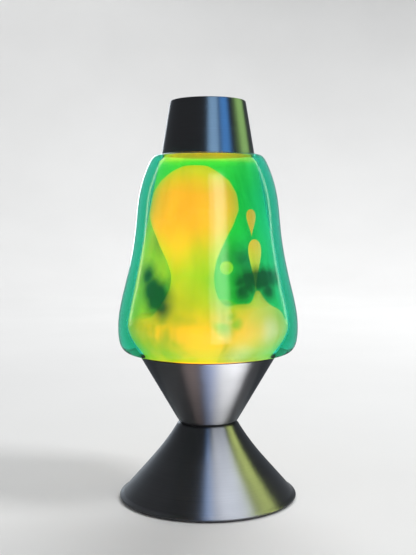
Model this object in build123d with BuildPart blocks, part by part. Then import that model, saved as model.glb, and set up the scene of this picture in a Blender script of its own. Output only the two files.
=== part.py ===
"""Lava lamp: a conical glass bottle of liquid and wax, standing in a metal cup on a
flared foot, under a metal cap, with a small lamp in the waist that heats it.

Frame: the origin is the centre of the footprint on the table, +Z is up the lamp's
axis, -Y is the front and +Y is the rear, where the cord comes in. Millimetres.
"""
import math
import os

from build123d import *

os.makedirs("parts", exist_ok=True)

# ------------------------------------------------------------------ driving sizes
SHEET = 0.9                 # thickness of the spun metal shells

# foot: the lower, outward flaring cone
FOOT_TOP_Z = 60.0
FOOT_TOP_R = 24.0
FOOT_RIM_R = 70.2
FOOT_RIM_Z = 2.0
FOOT_BEAD = 1.3             # radius of the rolled hem

# waist: ring between foot and cup, held by a flared tube
WAIST_BORE_R = 18.4
WAIST_HOLE_R = 19.6
WAIST_RING_R = 22.0

# cup: the upper cone that holds the bottle
CUP_BOTTOM_Z = 62.0
CUP_BOTTOM_R = 24.0
CUP_RIM_Z = 114.6
CUP_RIM_R = 54.8
CUP_BEAD = 0.8

# bottle
BOTTLE_BOTTOM_Z = 88.0
CAVITY_FLOOR_Z = 92.0
BOTTLE_LIP_Z = 308.0
NECK_BORE_R = 9.6
LIQUID_TOP_Z = 284.0
SKIN = 0.15                 # the liquid stands this far off the glass

# cap
CAP_BOTTOM_Z = 272.6
CAP_TOP_Z = 316.0
CAP_BOTTOM_R = 37.1
CAP_TOP_R = 29.8

# base plate and its fixings
PLATE_Z = 3.2
PLATE_T = 1.0
PLATE_R = 66.4
LUG_R = 55.5
LUG_ANGLES = (60, 180, 300)
PAD_R = 58.0
PAD_ANGLES = (0, 120, 240)

# lampholder and bulb (E17 size)
HOLDER_Z = 13.1
HOLDER_TOP_Z = 43.0
HOLDER_R = 13.5
BULB_TIP_Z = 83.5
BULB_R = 17.2
THREAD_R = 8.3
THREAD_PITCH = 2.82

# cord inlet, square to the foot's wall at the rear
INLET_Z = 13.2
INLET_BORE_R = 3.3


def rz(profile):
    """Points (r, z) as points of the XZ plane sketch."""
    return [(r, z) for r, z in profile]


def inset(profile, t):
    """The same (r, z) line moved t to its right-hand side as it is walked."""
    out = []
    n = len(profile)
    for i, (r, z) in enumerate(profile):
        a = profile[max(i - 1, 0)]
        b = profile[min(i + 1, n - 1)]
        dr, dz = b[0] - a[0], b[1] - a[1]
        length = math.hypot(dr, dz)
        out.append((r + t * dz / length, z - t * dr / length))
    return out


def written(part, name):
    part.label = name
    export_step(part, "parts/%s.step" % name)


# ------------------------------------------------------------------ foot shell
# outer line of the foot, from the hem up to the waist
FOOT_LINE = [
    (FOOT_RIM_R, FOOT_RIM_Z), (64.2, 9.0), (55.9, 18.4), (47.4, 28.0),
    (39.0, 38.0), (31.6, 48.0), (26.6, 55.6), (FOOT_TOP_R, FOOT_TOP_Z),
]
FOOT_INNER = inset(FOOT_LINE, -SHEET)
FOOT_INNER[0] = (FOOT_INNER[0][0], FOOT_RIM_Z - 0.2)
FOOT_INNER[-1] = (FOOT_TOP_R - 1.5, FOOT_TOP_Z - SHEET)

# point and normal of the wall at the cord inlet
_t = (INLET_Z - 9.0) / (18.4 - 9.0)
INLET_R = 64.2 + (55.9 - 64.2) * _t
_wall = Vector(55.9 - 64.2, 18.4 - 9.0, 0).normalized()
INLET_AXIS = Vector(0, _wall.Y, -_wall.X)
INLET_PLANE = Plane(origin=(0, INLET_R, INLET_Z), x_dir=(1, 0, 0), z_dir=INLET_AXIS)

with BuildPart() as foot_shell:
    with BuildSketch(Plane.XZ):
        with BuildLine():
            outer = Spline(rz(FOOT_LINE))
            Line(outer @ 1, (WAIST_HOLE_R, FOOT_TOP_Z))
            Line((WAIST_HOLE_R, FOOT_TOP_Z), (WAIST_HOLE_R, FOOT_TOP_Z - SHEET))
            Line((WAIST_HOLE_R, FOOT_TOP_Z - SHEET), FOOT_INNER[-1])
            inner = Spline(rz(FOOT_INNER))
            Line(inner @ 0, outer @ 0)
        make_face()
    revolve(axis=Axis.Z)
    # rolled hem round the edge
    with BuildSketch(Plane.XZ):
        with Locations((FOOT_RIM_R - 0.4, FOOT_RIM_Z)):
            Circle(FOOT_BEAD)
    revolve(axis=Axis.Z)
    # hole for the cord's grommet
    with BuildSketch(INLET_PLANE.offset(-6)):
        Circle(4.75)
    extrude(amount=12, mode=Mode.SUBTRACT)
written(foot_shell.part, "foot_shell")

# ------------------------------------------------------------------ cup shell
CUP_SLOPE = (CUP_RIM_R - CUP_BOTTOM_R) / (CUP_RIM_Z - CUP_BOTTOM_Z)
CUP_T = SHEET * math.hypot(1, CUP_SLOPE)        # wall measured level


def cup_inner_r(z):
    return CUP_BOTTOM_R + (z - CUP_BOTTOM_Z) * CUP_SLOPE - CUP_T


with BuildPart() as cup_shell:
    with BuildSketch(Plane.XZ):
        with BuildLine():
            Polyline(
                (WAIST_HOLE_R, CUP_BOTTOM_Z),
                (CUP_BOTTOM_R, CUP_BOTTOM_Z),
                (CUP_RIM_R, CUP_RIM_Z),
                (cup_inner_r(CUP_RIM_Z), CUP_RIM_Z),
                (cup_inner_r(CUP_BOTTOM_Z + SHEET), CUP_BOTTOM_Z + SHEET),
                (WAIST_HOLE_R, CUP_BOTTOM_Z + SHEET),
                close=True,
            )
        make_face()
    revolve(axis=Axis.Z)
    # rolled edge
    with BuildSketch(Plane.XZ):
        with Locations((CUP_RIM_R - 0.75, CUP_RIM_Z)):
            Circle(CUP_BEAD)
    revolve(axis=Axis.Z)
written(cup_shell.part, "cup_shell")

# ------------------------------------------------------------------ waist
with BuildPart() as waist_ring:
    with BuildSketch(Plane.XY.offset(FOOT_TOP_Z + 0.05)):
        Circle(WAIST_RING_R)
        Circle(WAIST_HOLE_R, mode=Mode.SUBTRACT)
    extrude(amount=CUP_BOTTOM_Z - FOOT_TOP_Z - 0.1)
    fillet(
        waist_ring.edges().filter_by(GeomType.CIRCLE).sort_by(lambda e: e.radius)[-2:],
        radius=0.6,
    )
written(waist_ring.part, "waist_ring")

with BuildPart() as waist_eyelet:
    z0 = FOOT_TOP_Z - SHEET - 0.05
    z1 = CUP_BOTTOM_Z + SHEET + 0.05
    with BuildSketch(Plane.XZ):
        with BuildLine():
            Polyline(
                (WAIST_BORE_R, z0 - 0.9),
                (21.4, z0 - 0.9),
                (21.4, z0),
                (WAIST_HOLE_R - 0.15, z0),
                (WAIST_HOLE_R - 0.15, z1),
                (21.4, z1),
                (21.4, z1 + 0.9),
                (WAIST_BORE_R, z1 + 0.9),
                close=True,
            )
        make_face()
    revolve(axis=Axis.Z)
    fillet(
        waist_eyelet.edges()
        .filter_by(GeomType.CIRCLE)
        .sort_by(lambda e: e.radius)[:2],
        radius=0.4,
    )
written(waist_eyelet.part, "waist_eyelet")

# ------------------------------------------------------------------ base plate
with BuildPart() as base_plate:
    with BuildSketch(Plane.XY.offset(PLATE_Z)):
        Circle(PLATE_R)
        with PolarLocations(LUG_R, 3, start_angle=LUG_ANGLES[0]):
            Circle(1.95, mode=Mode.SUBTRACT)
        # long vents, radial, in two rings
        with PolarLocations(36, 12, start_angle=15):
            SlotOverall(13, 3.6, mode=Mode.SUBTRACT)
        with PolarLocations(12, 6):
            SlotOverall(10, 3.2, mode=Mode.SUBTRACT)
        # rivet holes of the holder's bracket
        with Locations((28.5, 0), (-28.5, 0)):
            Circle(1.65, mode=Mode.SUBTRACT)
    extrude(amount=PLATE_T)
    # stiffening rib pressed up around the plate
    with BuildSketch(Plane.XY.offset(PLATE_Z + PLATE_T)):
        Circle(48.6)
        Circle(46.2, mode=Mode.SUBTRACT)
    extrude(amount=1.2)
    fillet(
        base_plate.edges()
        .filter_by(GeomType.CIRCLE)
        .filter_by(lambda e: abs(e.center().Z - PLATE_Z - PLATE_T - 1.2) < 1e-6),
        radius=0.5,
    )
written(base_plate.part, "base_plate")

with BuildPart() as plate_lugs:
    for angle in LUG_ANGLES:
        turned = Plane.XY.rotated((0, 0, angle))
        side = Plane(origin=(0, 0, 0), x_dir=turned.x_dir, z_dir=-turned.y_dir)
        z0 = PLATE_Z + PLATE_T + 0.1
        with BuildSketch(side.offset(-5)) as lug_side:
            with BuildLine():
                Polyline(
                    (50.0, z0), (62.6, z0), (63.4, z0 + 1.3),
                    (56.6, 15.0), (55.5, 14.0), (60.6, z0 + 1.5), (50.0, z0 + 1.5),
                    close=True,
                )
            make_face()
        extrude(amount=10)
    with PolarLocations(LUG_R, 3, start_angle=LUG_ANGLES[0]):
        with Locations((0, 0, PLATE_Z + PLATE_T)):
            Cylinder(
                1.7, 4, align=(Align.CENTER, Align.CENTER, Align.MIN),
                mode=Mode.SUBTRACT,
            )
written(plate_lugs.part, "plate_lugs")

with BuildPart() as plate_screws:
    for angle in LUG_ANGLES:
        a = math.radians(angle)
        cx, cy = LUG_R * math.cos(a), LUG_R * math.sin(a)
        with BuildSketch(Plane((cx, cy, PLATE_Z - 1.7))):
            Circle(3.1)
            SlotOverall(4.6, 0.9, mode=Mode.SUBTRACT)
        extrude(amount=0.7)
        with BuildSketch(Plane((cx, cy, PLATE_Z - 1.0))):
            Circle(3.1)
        extrude(amount=0.95)
        with BuildSketch(Plane((cx, cy, PLATE_Z - 0.05))):
            Circle(1.6)
        extrude(amount=7.2)
    chamfer(
        plate_screws.edges()
        .filter_by(GeomType.CIRCLE)
        .group_by(Axis.Z)[-1],
        length=0.4,
    )
written(plate_screws.part, "plate_screws")

with BuildPart() as rubber_feet:
    with BuildSketch(Plane.XY):
        with PolarLocations(PAD_R, 3, start_angle=PAD_ANGLES[0]):
            Circle(6.0)
    extrude(amount=PLATE_Z - 0.02)
    chamfer(rubber_feet.edges().group_by(Axis.Z)[0], length=0.6)
written(rubber_feet.part, "rubber_feet")

# ------------------------------------------------------------------ cord inlet
with BuildPart() as cord_grommet:
    with BuildSketch(INLET_PLANE.offset(0.3)):
        Circle(6.6)
    extrude(amount=1.8)
    fillet(
        cord_grommet.edges().filter_by(GeomType.CIRCLE).sort_by(Axis(
            (0, INLET_R, INLET_Z), (0, INLET_AXIS.Y, INLET_AXIS.Z)))[-1],
        radius=1.0,
    )
    with BuildSketch(INLET_PLANE.offset(-2.9)):
        Circle(4.6)
    extrude(amount=3.4)
    with BuildSketch(INLET_PLANE.offset(-2.9)):
        Circle(5.7)
    extrude(amount=1.5)
    with BuildSketch(INLET_PLANE.offset(-3.2)):
        Circle(INLET_BORE_R)
    extrude(amount=6.0, mode=Mode.SUBTRACT)
written(cord_grommet.part, "cord_grommet")

# ------------------------------------------------------------------ lampholder
with BuildPart() as holder_bracket:
    z0 = PLATE_Z + PLATE_T + 0.02
    with BuildSketch(Plane.XZ.offset(-9)):
        with BuildLine():
            Polyline(
                (-34, z0), (-22.8, z0), (-20.2, HOLDER_Z - 1.3),
                (20.2, HOLDER_Z - 1.3), (22.8, z0), (34, z0),
                (34, z0 + 1.2), (23.8, z0 + 1.2), (21.2, HOLDER_Z - 0.1),
                (-21.2, HOLDER_Z - 0.1), (-23.8, z0 + 1.2), (-34, z0 + 1.2),
                close=True,
            )
        make_face()
    extrude(amount=18)
    with Locations((0, 0, HOLDER_Z - 1.5)):
        Cylinder(5.05, 6, mode=Mode.SUBTRACT)
    with Locations((28.5, 0, z0), (-28.5, 0, z0)):
        Cylinder(1.65, 6, mode=Mode.SUBTRACT)
    fillet(holder_bracket.edges().filter_by(Axis.Z), radius=2.5)
written(holder_bracket.part, "holder_bracket")

with BuildPart() as bracket_rivets:
    top = PLATE_Z + PLATE_T + 1.24
    for x in (28.5, -28.5):
        with BuildSketch(Plane((x, 0, PLATE_Z - 1.2))):
            Circle(2.8)
        extrude(amount=1.18)
        with BuildSketch(Plane((x, 0, PLATE_Z - 0.1))):
            Circle(1.6)
        extrude(amount=top - PLATE_Z + 0.15)
        with BuildSketch(Plane((x, 0, top))):
            Circle(3.0)
        extrude(amount=1.3)
    fillet(
        bracket_rivets.edges().filter_by(GeomType.CIRCLE).group_by(Axis.Z)[-1],
        radius=1.0,
    )
written(bracket_rivets.part, "bracket_rivets")

with BuildPart() as lampholder_body:
    with BuildSketch(Plane.XZ):
        with BuildLine():
            Polyline(
                (5.05, HOLDER_Z), (10.5, HOLDER_Z), (HOLDER_R, HOLDER_Z + 3),
                (HOLDER_R, 30.0), (12.4, 31.5), (12.4, HOLDER_TOP_Z - 1),
                (11.4, HOLDER_TOP_Z), (9.6, HOLDER_TOP_Z), (9.6, 18.6),
                (5.05, 18.6),
                close=True,
            )
        make_face()
    revolve(axis=Axis.Z)
    # blind holes of the two terminal screws
    for s in (1, -1):
        with BuildSketch(Plane(origin=(s * 10.6, 0, 22.5), z_dir=(s, 0, 0))):
            Circle(1.35)
        extrude(amount=5, mode=Mode.SUBTRACT)
written(lampholder_body.part, "lampholder_body")


def ring_wave(r_low, r_high, z_start, pitch, turns, steps=8):
    """A rounded thread form drawn as rings: points (r, z) going up."""
    mid, amp = (r_low + r_high) / 2, (r_high - r_low) / 2
    pts = []
    for i in range(turns * steps + 1):
        ang = 2 * math.pi * i / steps
        pts.append((mid - amp * math.cos(ang), z_start + pitch * i / steps))
    return pts


with BuildPart() as lampholder_shell:
    wave_in = ring_wave(8.1, 8.7, 27.6 - THREAD_PITCH, THREAD_PITCH, 5)
    wave_out = [(r + 0.5, z) for r, z in wave_in]
    with BuildSketch(Plane.XZ):
        with BuildLine():
            low = Spline(wave_in)
            high = Spline(wave_out)
            Line(low @ 0, high @ 0)
            Line(low @ 1, high @ 1)
        make_face()
    revolve(axis=Axis.Z)
    with BuildSketch(Plane.XZ):
        with BuildLine():
            Polyline(
                (6.2, 24.2), (8.6, 24.2), (8.6, 24.78), (6.2, 24.78), close=True,
            )
        make_face()
    revolve(axis=Axis.Z)
written(lampholder_shell.part, "lampholder_shell")

with BuildPart() as holder_contact:
    with BuildSketch(Plane.XZ.offset(-2)):
        with BuildLine():
            Polyline(
                (-7.6, 18.7), (7.0, 18.7), (7.0, 19.1), (-4.2, 19.1),
                (3.4, 22.4), (2.6, 22.8), (-7.6, 19.3),
                close=True,
            )
        make_face()
    extrude(amount=4)
written(holder_contact.part, "holder_contact")

with BuildPart() as holder_nipple:
    with BuildSketch(Plane.XY.offset(6.4)):
        Circle(4.95)
        Circle(3.4, mode=Mode.SUBTRACT)
    extrude(amount=12.0)
    chamfer(
        holder_nipple.edges().filter_by(GeomType.CIRCLE).group_by(Axis.Z)[0][-1],
        length=0.4,
    )
written(holder_nipple.part, "holder_nipple")

with BuildPart() as holder_nut:
    with BuildSketch(Plane.XY.offset(8.2)):
        RegularPolygon(radius=7.0, side_count=6, major_radius=False)
        Circle(4.98, mode=Mode.SUBTRACT)
    extrude(amount=3.3)
written(holder_nut.part, "holder_nut")

with BuildPart() as terminal_screws:
    for s in (1, -1):
        with BuildSketch(Plane(origin=(s * 10.8, 0, 22.5), z_dir=(s, 0, 0))):
            Circle(1.3)
        extrude(amount=3.0)
        with BuildSketch(Plane(origin=(s * (HOLDER_R + 0.1), 0, 22.5), z_dir=(s, 0, 0))):
            Circle(2.6)
        extrude(amount=1.0)
        with BuildSketch(Plane(origin=(s * (HOLDER_R + 1.1), 0, 22.5), z_dir=(s, 0, 0))):
            Circle(2.6)
            Rectangle(4.4, 0.7, mode=Mode.SUBTRACT)
        extrude(amount=0.7)
written(terminal_screws.part, "terminal_screws")

# ------------------------------------------------------------------ bulb
BULB_OUT = [
    (6.9, 43.6), (7.2, 46.6), (9.3, 51.0), (13.0, 56.5), (16.2, 63.0),
    (BULB_R, 68.6), (16.0, 74.8), (12.2, 79.6), (6.8, 82.6), (3.2, 83.35), (0, BULB_TIP_Z),
]
BULB_IN = [
    (6.2, 43.6), (6.5, 46.8), (8.65, 51.4), (12.35, 56.8), (15.5, 63.2),
    (BULB_R - 0.7, 68.6), (15.35, 74.5), (11.75, 79.0), (6.5, 81.9), (3.1, 82.65), (0, BULB_TIP_Z - 0.7),
]
with BuildPart() as bulb_glass:
    with BuildSketch(Plane.XZ):
        with BuildLine():
            outside = Spline(BULB_OUT)
            inside = Spline(BULB_IN)
            Line(outside @ 1, inside @ 1)
            Line(outside @ 0, inside @ 0)
        make_face()
    revolve(axis=Axis.Z)
written(bulb_glass.part, "bulb_glass")

with BuildPart() as bulb_base:
    wave = ring_wave(7.7, THREAD_R, 27.6, THREAD_PITCH, 5)
    skin = [(r - 0.45, z) for r, z in wave]
    with BuildSketch(Plane.XZ):
        with BuildLine():
            o = Spline(wave)
            i = Spline(skin)
            Line(o @ 1, (7.7, 44.6))
            Line((7.7, 44.6), (7.25, 44.6))
            Line((7.25, 44.6), i @ 1)
            Line(o @ 0, (5.4, 26.0))
            Line((5.4, 26.0), (4.9, 26.0))
            Line((4.9, 26.0), i @ 0)
        make_face()
    revolve(axis=Axis.Z)
written(bulb_base.part, "bulb_base")

with BuildPart() as bulb_insulator:
    with BuildSketch(Plane.XZ):
        with BuildLine():
            Polyline(
                (0, 24.4), (3.4, 24.4), (4.8, 25.9), (4.8, 27.2), (0, 27.2),
                close=True,
            )
        make_face()
    revolve(axis=Axis.Z)
written(bulb_insulator.part, "bulb_insulator")

with BuildPart() as bulb_contact:
    with BuildSketch(Plane.XZ):
        with BuildLine():
            Polyline(
                (0, 24.35), (2.6, 24.35), (2.3, 23.7), (1.3, 23.25), (0, 23.1),
                close=True,
            )
        make_face()
    revolve(axis=Axis.Z)
written(bulb_contact.part, "bulb_contact")

with BuildPart() as bulb_stem:
    with BuildSketch(Plane.XZ):
        with BuildLine():
            Polyline(
                (0, 31.0), (2.2, 31.0), (2.4, 44.0), (3.2, 47.0), (2.6, 53.0),
                (1.6, 57.0), (1.2, 61.0), (0, 61.6),
                close=True,
            )
        make_face()
    revolve(axis=Axis.Z)
written(bulb_stem.part, "bulb_stem")

FILAMENT_Z = 66.0
with BuildPart() as bulb_supports:
    for s in (1, -1):
        with BuildLine():
            route = Polyline((s * 1.9, 0, 56.9), (s * 4.0, 0, 60.0), (s * 7.6, 0, FILAMENT_Z))
        with BuildSketch(Plane(origin=route @ 0, z_dir=route % 0)):
            Circle(0.28)
        sweep(transition=Transition.ROUND)
written(bulb_supports.part, "bulb_supports")

with BuildPart() as bulb_filament:
    # a shallow arc between the two supports
    with BuildLine():
        arc = ThreePointArc((-7.6, 0, FILAMENT_Z + 0.6), (0, 0, FILAMENT_Z + 3.4), (7.6, 0, FILAMENT_Z + 0.6))
    with BuildSketch(Plane(origin=arc @ 0, z_dir=arc % 0)):
        Circle(0.45)
    sweep()
written(bulb_filament.part, "bulb_filament")

# ------------------------------------------------------------------ bottle
SEAT_GAP = 0.55             # level gap between the glass and the cup
seat_low = (cup_inner_r(92.0) - SEAT_GAP, 92.0)
seat_high = (cup_inner_r(113.2) - SEAT_GAP, 113.2)

# the tall cone of the cavity, and how wide it is at a height
CONE_LOW = (64.2, 141.0)
CONE_HIGH = (39.1, 268.0)


def cavity_r(z):
    if z >= CONE_LOW[1]:
        t = (z - CONE_LOW[1]) / (CONE_HIGH[1] - CONE_LOW[1])
        return CONE_LOW[0] + (CONE_HIGH[0] - CONE_LOW[0]) * t
    line = [(35.4, 94.8), (51.3, 114.6), (59.0, 124.0), (64.2, 141.0)]
    for (r0, z0), (r1, z1) in zip(line, line[1:]):
        if z <= z1:
            return r0 + (r1 - r0) * (z - z0) / (z1 - z0)
    return CONE_LOW[0]


def cavity_lines(s):
    """Draw the cavity's half outline, standing s inside the glass, up to the neck."""
    floor = Line((0, CAVITY_FLOOR_Z + s), (32.4 - s, CAVITY_FLOOR_Z + s))
    knee = Polyline(floor @ 1, (34.0 - s, CAVITY_FLOOR_Z + 0.9 + s), (35.4 - s, 94.8))
    seat = Line(knee @ 1, (51.3 - s, 114.6))
    belly = Spline(
        seat @ 1, (55.2 - s, 119.0), (59.3 - s, 124.6), (62.5 - s, 130.6),
        (64.1 - s, 136.0), (CONE_LOW[0] - s, CONE_LOW[1]),
    )
    cone = Line(belly @ 1, (CONE_HIGH[0] - s, CONE_HIGH[1]))
    return cone @ 1


with BuildPart() as bottle_glass:
    with BuildSketch(Plane.XZ):
        with BuildLine():
            # outside, from the middle of the bottom up
            base = Line((0, 89.4), (26.0, 89.4))
            heel = Spline(base @ 1, (29.4, 88.4), (33.4, 88.1), (37.0, 89.4), seat_low)
            seat = Line(heel @ 1, seat_high)
            turn = Spline(seat @ 1, (52.3, 114.5), (52.9, 115.7), (54.6, 116.4), (59.0, 116.8))
            shelf = Spline(
                turn @ 1, (63.6, 117.3), (67.6, 119.6), (70.2, 123.8), (71.5, 130.0),
                (71.8, 138.0), (71.3, 146.0), (70.3, 152.5), (68.3, 162.0), (65.8, 172.0), (63.5, 182.0),
                (61.4, 192.0), (59.6, 202.0), (58.2, 212.0), (57.2, 222.0), (56.2, 232.0),
                (54.8, 242.0), (52.3, 252.5), (49.0, 262.0), (46.3, 268.0),
            )
            lip = Polyline(
                shelf @ 1, (44.7, 270.8), (43.0, 272.6), (41.2, 273.4), (39.4, 273.5),
                (38.1, 273.1), (37.7, 272.2), (35.8, 272.2), (35.3, 273.2),
            )
            shoulder = Spline(
                lip @ 1, (34.7, 276.8), (32.8, 282.4), (27.6, 287.8), (19.6, 292.0),
                (14.6, 296.0), (13.3, 299.4),
            )
            neck = Polyline(
                shoulder @ 1, (13.1, 302.0), (13.3, 304.0), (13.3, 306.8), (12.4, BOTTLE_LIP_Z),
                (NECK_BORE_R, BOTTLE_LIP_Z), (NECK_BORE_R, 298.0),
            )
            # inside, going down from the neck
            top = cavity_lines(0)
            inside = Spline(
                top, (37.4, 269.6), (35.0, 272.2), (32.8, 276.6), (30.0, 281.6), (24.8, 285.8),
                (16.6, 289.8), (11.0, 293.8), neck @ 1,
            )
            Line((0, 89.4), (0, CAVITY_FLOOR_Z))
        make_face()
    revolve(axis=Axis.Z)
written(bottle_glass.part, "bottle_glass")

# wax: a pool over the warm floor of the bottle and a blob rising out of it
POOL_TOP_Z = 149.0
RISING = [  # height, sideways offset, front-back offset, radius
    (138.0, -7.0, 0.0, 30.0), (150.0, -11.0, 0.0, 20.5), (163.0, -14.0, 0.0, 15.0),
    (178.0, -14.5, 0.0, 15.0), (195.0, -13.5, 0.0, 21.0), (212.0, -12.0, 0.0, 28.0),
    (229.0, -11.0, 0.0, 31.0), (244.0, -10.0, 0.0, 26.5), (254.0, -9.0, 0.0, 18.0),
    (260.0, -8.5, 0.0, 7.0),
]
with BuildPart() as wax_mass:
    gap = 0.7
    with BuildSketch(Plane.XZ):
        with BuildLine():
            Line((0, CAVITY_FLOOR_Z + 0.5), (31.0, CAVITY_FLOOR_Z + 0.5))
            Polyline(
                (31.0, CAVITY_FLOOR_Z + 0.5), (34.6, 95.8),
                (cavity_r(112) - gap - 0.6, 112.0), (cavity_r(124) - gap - 0.4, 124.0),
                (cavity_r(136.0) - gap - 0.3, 136.0), (61.4, 144.0),
            )
            Spline([(61.4, 144.0), (44.0, POOL_TOP_Z), (20.0, POOL_TOP_Z + 2), (0, POOL_TOP_Z + 2.6)])
            Line((0, POOL_TOP_Z + 2.6), (0, CAVITY_FLOOR_Z + 0.5))
        make_face()
    revolve(axis=Axis.Z)
with BuildPart() as wax_column:
    for z, x, y, r in RISING:
        with BuildSketch(Plane((x, y, z))):
            Circle(r)
    loft()
with BuildPart() as wax_whole:
    add(wax_mass.part)
    add(wax_column.part)
written(wax_whole.part, "wax_mass")

# free drops of wax: a bead, a long drop over the pool, and a small round one
DROPS = [  # x, y, low z, high z, radius
    (33.5, -10.0, 213.0, 228.0, 3.4),
    (36.5, -8.0, 160.0, 203.0, 4.6),
    (17.0, 8.0, 177.0, 187.0, 4.8),
]
with BuildPart() as wax_drops:
    for x, y, low, high, r in DROPS:
        h = high - low
        with BuildSketch(Plane(origin=(x, y, 0), x_dir=(1, 0, 0), z_dir=(0, -1, 0))):
            with BuildLine():
                Spline(
                    [(0, low), (r * 0.85, low + h * 0.18), (r, low + h * 0.36),
                     (r * 0.55, low + h * 0.7), (0, high)],
                    tangents=[(1, 0), (-1, 0)],
                )
                Line((0, low), (0, high))
            make_face()
        revolve(axis=Axis((x, y, 0), (0, 0, 1)))
written(wax_drops.part, "wax_drops")

with BuildPart() as liquid:
    with BuildSketch(Plane.XZ):
        with BuildLine():
            top = cavity_lines(SKIN)
            up = Spline(
                top, (37.4 - SKIN, 269.6), (35.0 - SKIN, 272.2), (32.8 - SKIN, 276.6),
                (30.0 - SKIN, 281.4), (27.0, LIQUID_TOP_Z - 0.2),
            )
            Line(up @ 1, (26.6, LIQUID_TOP_Z))
            Line((26.6, LIQUID_TOP_Z), (0, LIQUID_TOP_Z))
            Line((0, LIQUID_TOP_Z), (0, CAVITY_FLOOR_Z + SKIN))
        make_face()
    revolve(axis=Axis.Z)
    add(wax_whole.part, mode=Mode.SUBTRACT)
    add(wax_drops.part, mode=Mode.SUBTRACT)
written(liquid.part, "liquid")

# wire coil lying on the bottle's floor under the wax
with BuildPart() as wire_coil:
    for k, (rr, zz) in enumerate(((27.5, 93.5), (27.9, 95.1), (27.4, 96.7))):
        with BuildSketch(Plane.XZ):
            with Locations((rr, zz)):
                Circle(0.85)
        revolve(axis=Axis.Z)
written(wire_coil.part, "wire_coil")

# crown cap with its pressed flutes, and the liner under it
with BuildPart() as crown_cap:
    with BuildSketch(Plane.XZ):
        with BuildLine():
            Polyline(
                (0, 308.75), (12.9, 308.75), (13.65, 308.0), (13.75, 305.6), (15.5, 302.4),
                (15.95, 302.6), (14.3, 305.8), (14.2, 308.3), (13.2, 309.2), (0, 309.2),
                close=True,
            )
        make_face()
    revolve(axis=Axis.Z)
    with PolarLocations(16.6, 21):
        with Locations((0, 0, 303.6)):
            Cylinder(1.15, 5, mode=Mode.SUBTRACT)
written(crown_cap.part, "crown_cap")

with BuildPart() as crown_liner:
    with BuildSketch(Plane.XY.offset(BOTTLE_LIP_Z + 0.05)):
        Circle(12.6)
    extrude(amount=0.65)
written(crown_liner.part, "crown_liner")

# ------------------------------------------------------------------ cap
CAP_SLOPE = (CAP_BOTTOM_R - CAP_TOP_R) / (CAP_TOP_Z - CAP_BOTTOM_Z)
with BuildPart() as cap_shell:
    with BuildSketch(Plane.XZ):
        with BuildLine():
            Polyline(
                (0, CAP_TOP_Z), (CAP_TOP_R, CAP_TOP_Z), (CAP_BOTTOM_R, CAP_BOTTOM_Z),
                (CAP_BOTTOM_R - SHEET, CAP_BOTTOM_Z),
                (CAP_TOP_R - SHEET + CAP_SLOPE, CAP_TOP_Z - SHEET),
                (0, CAP_TOP_Z - SHEET),
                close=True,
            )
        make_face()
    revolve(axis=Axis.Z)
    fillet(cap_shell.edges().group_by(Axis.Z)[-1], radius=0.8)
    fillet(
        cap_shell.edges().filter_by(GeomType.CIRCLE).group_by(Axis.Z)[0].sort_by(lambda e: e.radius)[-1],
        radius=0.35,
    )
written(cap_shell.part, "cap_shell")

print("inlet point", INLET_R, INLET_Z, "axis", tuple(INLET_AXIS))
print("glass volume ml", bottle_glass.part.volume / 1000)
print("liquid and wax ml", liquid.part.volume / 1000, wax_whole.part.volume / 1000)
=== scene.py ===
import math

import bmesh
import bpy
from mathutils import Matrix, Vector, noise


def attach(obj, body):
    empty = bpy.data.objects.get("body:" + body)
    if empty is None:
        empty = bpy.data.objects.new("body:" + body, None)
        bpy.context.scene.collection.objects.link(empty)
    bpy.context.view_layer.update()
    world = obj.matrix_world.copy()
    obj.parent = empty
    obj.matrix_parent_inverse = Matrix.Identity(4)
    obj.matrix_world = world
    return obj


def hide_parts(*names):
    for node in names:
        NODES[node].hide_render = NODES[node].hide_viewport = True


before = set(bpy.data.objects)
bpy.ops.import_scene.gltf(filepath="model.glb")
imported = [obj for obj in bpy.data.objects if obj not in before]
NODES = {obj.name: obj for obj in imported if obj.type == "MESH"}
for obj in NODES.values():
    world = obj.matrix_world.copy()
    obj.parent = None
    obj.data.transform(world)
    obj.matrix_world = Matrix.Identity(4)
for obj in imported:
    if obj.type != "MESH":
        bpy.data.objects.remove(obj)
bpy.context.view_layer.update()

SCENE = bpy.context.scene
MM = 0.001


# ---------------------------------------------------------------- small helpers
def curve_through(points, per=8):
    """A smooth line through the points, as a list of points (centripetal Catmull-Rom)."""
    pts = [Vector((p[0], p[1])) for p in points]
    ends = [pts[0] * 2 - pts[1]] + pts + [pts[-1] * 2 - pts[-2]]
    out = []
    for i in range(1, len(ends) - 2):
        p0, p1, p2, p3 = ends[i - 1:i + 3]
        t0 = 0.0
        t1 = t0 + max((p1 - p0).length, 1e-9) ** 0.5
        t2 = t1 + max((p2 - p1).length, 1e-9) ** 0.5
        t3 = t2 + max((p3 - p2).length, 1e-9) ** 0.5
        for k in range(per):
            t = t1 + (t2 - t1) * k / per
            a1 = p0 * ((t1 - t) / (t1 - t0)) + p1 * ((t - t0) / (t1 - t0))
            a2 = p1 * ((t2 - t) / (t2 - t1)) + p2 * ((t - t1) / (t2 - t1))
            a3 = p2 * ((t3 - t) / (t3 - t2)) + p3 * ((t - t2) / (t3 - t2))
            b1 = a1 * ((t2 - t) / (t2 - t0)) + a2 * ((t - t0) / (t2 - t0))
            b2 = a2 * ((t3 - t) / (t3 - t1)) + a3 * ((t - t1) / (t3 - t1))
            c = b1 * ((t2 - t) / (t2 - t1)) + b2 * ((t - t1) / (t2 - t1))
            out.append((c.x, c.y))
    out.append((pts[-1].x, pts[-1].y))
    return out


def arc(cx, cz, radius, a0, a1, n):
    """Points on a circle from angle a0 to a1, in degrees."""
    return [
        (cx + radius * math.cos(math.radians(a0 + (a1 - a0) * i / n)),
         cz + radius * math.sin(math.radians(a0 + (a1 - a0) * i / n)))
        for i in range(n + 1)
    ]


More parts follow.
